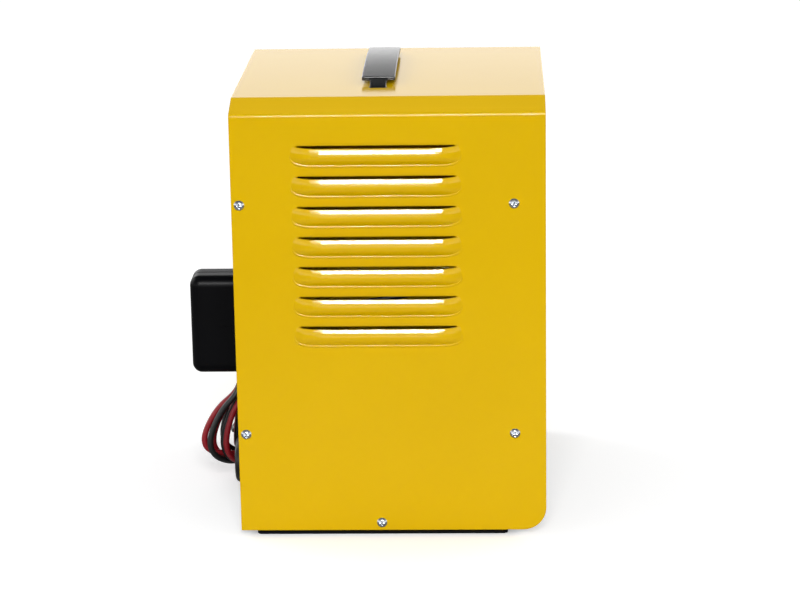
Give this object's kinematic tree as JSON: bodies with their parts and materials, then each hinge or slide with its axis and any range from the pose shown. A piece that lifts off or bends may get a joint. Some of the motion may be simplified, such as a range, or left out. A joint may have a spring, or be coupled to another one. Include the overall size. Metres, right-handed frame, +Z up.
{
  "type": "battery charger",
  "caption": "Battery charger with jump starter: folded sheet cover with pressed louvres, carrying strap, front ammeter, switches, and leads ending in spring clamps.",
  "frame": {"origin": "centre of the bounding box's footprint, on the plane that the two runners stand on, measured without the battery leads and clamps", "axes": "+Z up, the front panel with its controls faces -Y, +X is the user's right when facing the front"},
  "size_m": [0.276, 0.288, 0.355],
  "materials": {
    "yellow_paint": "semi-gloss powder coat",
    "black_paint": "satin powder coat",
    "black_plastic": "moulded, fine matt",
    "control_plastic": "moulded, satin",
    "runner_rubber": "matt",
    "zinc": "bright zinc plate",
    "clamp_nickel": "nickel plate",
    "spring_steel": "bright wire",
    "red_vinyl": "soft sleeve",
    "black_vinyl": "soft sleeve",
    "red_jacket": "extruded, satin",
    "black_jacket": "extruded, satin",
    "mixed_jacket": "extruded, satin",
    "rocker_red": "moulded, gloss",
    "lamp_green": "clear tinted lens",
    "lamp_red": "clear tinted lens",
    "dial_white": "matt print ground",
    "needle_black": "black lacquer",
    "clear_window": "clear moulding",
    "ivory_plastic": "moulded",
    "lamination_steel": "varnished stack",
    "bracket_steel": "zinc plate",
    "former_nylon": "moulded",
    "enamel_copper": "enamelled wire",
    "taped_copper": "taped coil",
    "plate_aluminium": "mill finish",
    "brass": "turned",
    "tinned_copper": "rolled strip"
  },
  "bodies": {
    "case": {"cover": "yellow_paint", "chassis": "black_paint", "runners": "runner_rubber", "handle_strap": "black_plastic", "cover_screws": "zinc", "chassis_screws": "zinc", "housing_right": "black_plastic", "housing_left": "black_plastic", "housing_screws": "zinc", "lead_grommet": "runner_rubber", "red_lead": "red_jacket", "black_lead": "black_jacket", "lead_hank": "mixed_jacket", "hank_tie": "black_plastic", "clamp_rest": "zinc", "red_fixed_jaw": "clamp_nickel", "red_fixed_sleeve": "red_vinyl", "red_rivet": "zinc", "red_spring": "spring_steel", "black_fixed_jaw": "clamp_nickel", "black_fixed_sleeve": "black_vinyl", "black_rivet": "zinc", "black_spring": "spring_steel", "selector_switch": "control_plastic", "power_switch": "control_plastic", "voltage_switch": "control_plastic", "thermal_breaker": "control_plastic", "power_lamp": "lamp_green", "charge_lamp": "lamp_red", "meter_case": "control_plastic", "meter_dial": "dial_white", "meter_window": "clear_window", "mains_gland": "black_plastic", "gland_nut": "black_plastic", "terminal_block": "ivory_plastic", "transformer_core": "lamination_steel", "core_angles": "bracket_steel", "core_bolts": "zinc", "coil_former": "former_nylon", "primary_winding": "enamel_copper", "secondary_winding": "taped_copper", "rectifier_plate": "plate_aluminium", "rectifier_diodes": "bracket_steel", "plate_spacers": "zinc", "output_posts": "brass", "fuse_strip": "tinned_copper", "secondary_links": "tinned_copper", "output_cables": "black_jacket"},
    "needle": {"meter_needle": "needle_black"},
    "power_rocker_body": {"power_rocker": "rocker_red"},
    "voltage_rocker_body": {"voltage_rocker": "control_plastic"},
    "selector": {"selector_knob": "control_plastic", "selector_shaft": "zinc"},
    "reset": {"reset_button": "rocker_red"},
    "red_clamp_half": {"red_moving_jaw": "clamp_nickel", "red_moving_sleeve": "red_vinyl"},
    "black_clamp_half": {"black_moving_jaw": "clamp_nickel", "black_moving_sleeve": "black_vinyl"}
  },
  "joints": [
    {"name": "needle_swing", "type": "hinge", "parent": "case", "child": "needle", "pos_m": [0, -0.0991, 0.247], "axis": [0, 1, 0], "range_deg": [0, 84], "stiffness_Nm_per_rad": 0.002, "springref_deg": -5.73},
    {"name": "power_tip", "type": "hinge", "parent": "case", "child": "power_rocker_body", "pos_m": [0.058, -0.0946, 0.185], "axis": [-1, 0, 0], "range_deg": [0, 22]},
    {"name": "voltage_tip", "type": "hinge", "parent": "case", "child": "voltage_rocker_body", "pos_m": [0.058, -0.0946, 0.14], "axis": [-1, 0, 0], "range_deg": [0, 22]},
    {"name": "selector_turn", "type": "hinge", "parent": "case", "child": "selector", "pos_m": [0.0425, -0.0955, 0.034], "axis": [0, 1, 0], "range_deg": [0, 150]},
    {"name": "reset_push", "type": "slide", "parent": "case", "child": "reset", "axis": [0, 1, 0], "range_m": [0, 0.0025], "stiffness_N_per_m": 800, "springref_m": -0.001},
    {"name": "red_clamp_open", "type": "hinge", "parent": "case", "child": "red_clamp_half", "pos_m": [-0.056, -0.1045, 0.165], "axis": [0, -1, 0], "range_deg": [0, 28], "stiffness_Nm_per_rad": 0.8, "springref_deg": -34.38},
    {"name": "black_clamp_open", "type": "hinge", "parent": "case", "child": "black_clamp_half", "pos_m": [-0.106, -0.1045, 0.165], "axis": [0, -1, 0], "range_deg": [0, 28], "stiffness_Nm_per_rad": 0.8, "springref_deg": -34.38}
  ]
}
